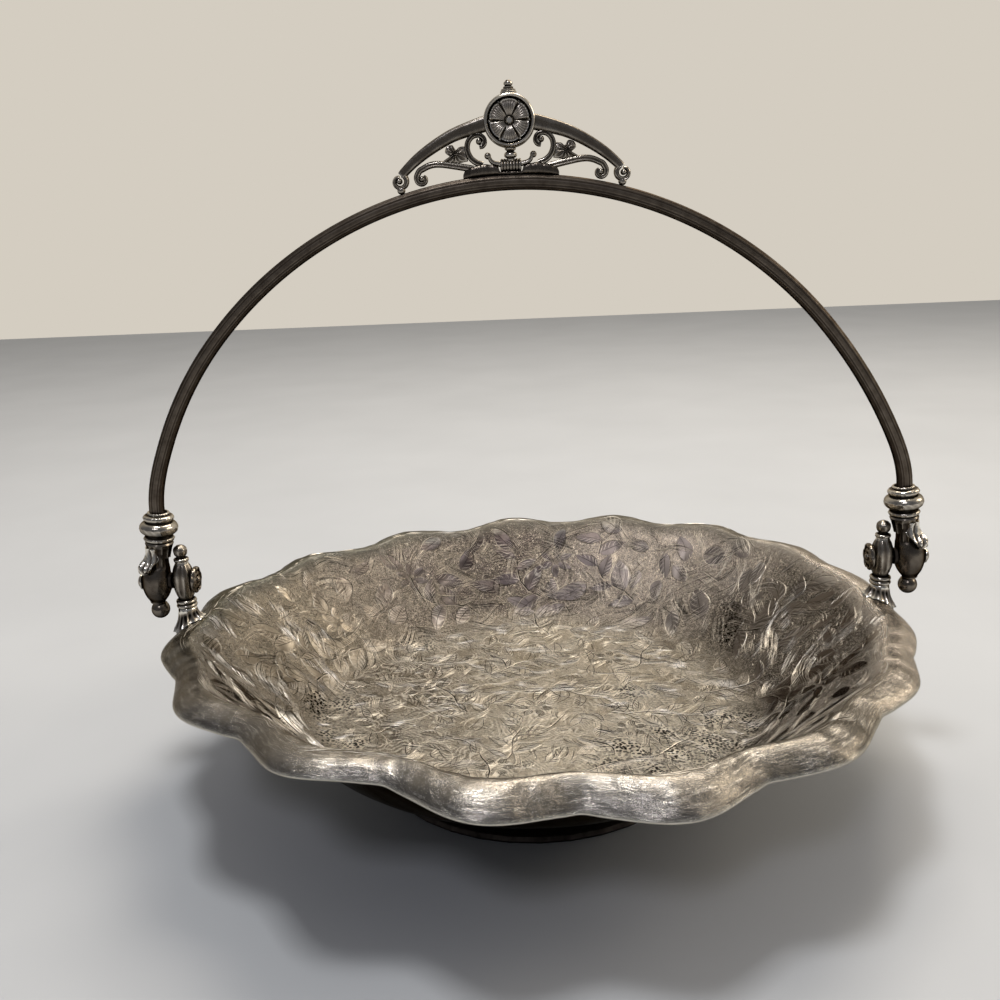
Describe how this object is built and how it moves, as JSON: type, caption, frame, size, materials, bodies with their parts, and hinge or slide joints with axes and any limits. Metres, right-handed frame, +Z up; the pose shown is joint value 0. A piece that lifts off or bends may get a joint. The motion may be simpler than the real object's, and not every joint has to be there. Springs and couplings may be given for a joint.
{
  "type": "brides basket",
  "caption": "Silver-plated ruffled dish on a low foot ring, with an arched swing handle on two pivot lugs and an openwork crest.",
  "frame": {"origin": "on the table, under the middle of the bowl", "axes": "+Z up; X along the line of the two handle pivots; -Y towards the viewer"},
  "size_m": [0.29, 0.2651, 0.242],
  "materials": {
    "bowl_silver_plate": "aged satin silver plate, engraved, warm grey tarnish",
    "cast_silver_plate": "cast silver plate, dark in the recesses and bright on the high points",
    "bail_silver_plate": "drawn reeded strip, silver plate tarnished to gunmetal"
  },
  "bodies": {
    "basket": {"bowl": "bowl_silver_plate", "foot_ring": "bowl_silver_plate", "right_lug_skirt": "cast_silver_plate", "right_lug_post": "cast_silver_plate", "right_lug_finial": "cast_silver_plate", "right_pivot_pin": "cast_silver_plate", "right_pivot_washer": "cast_silver_plate", "right_pivot_cap": "cast_silver_plate", "left_lug_skirt": "cast_silver_plate", "left_lug_post": "cast_silver_plate", "left_lug_finial": "cast_silver_plate", "left_pivot_pin": "cast_silver_plate", "left_pivot_washer": "cast_silver_plate", "left_pivot_cap": "cast_silver_plate"},
    "handle": {"bail": "bail_silver_plate", "crest_saddle": "cast_silver_plate", "crest_barrel": "cast_silver_plate", "crest_neck": "cast_silver_plate", "roundel_drum": "cast_silver_plate", "rosette_front": "cast_silver_plate", "rosette_back": "cast_silver_plate", "crest_finial": "cast_silver_plate", "right_socket_collar": "cast_silver_plate", "right_terminal": "cast_silver_plate", "right_acanthus_leaf": "cast_silver_plate", "right_pendant_ball": "cast_silver_plate", "left_socket_collar": "cast_silver_plate", "left_terminal": "cast_silver_plate", "left_acanthus_leaf": "cast_silver_plate", "left_pendant_ball": "cast_silver_plate", "right_horn": "cast_silver_plate", "right_scroll_arm": "cast_silver_plate", "right_c_scroll": "cast_silver_plate", "right_crest_leaf": "cast_silver_plate", "right_crest_curl": "cast_silver_plate", "left_horn": "cast_silver_plate", "left_scroll_arm": "cast_silver_plate", "left_c_scroll": "cast_silver_plate", "left_crest_leaf": "cast_silver_plate", "left_crest_curl": "cast_silver_plate"}
  },
  "joints": [
    {"name": "handle_swing", "type": "hinge", "parent": "basket", "child": "handle", "pos_m": [0, 0, 0.075], "axis": [1, 0, 0], "range_deg": [-95, 95]}
  ]
}
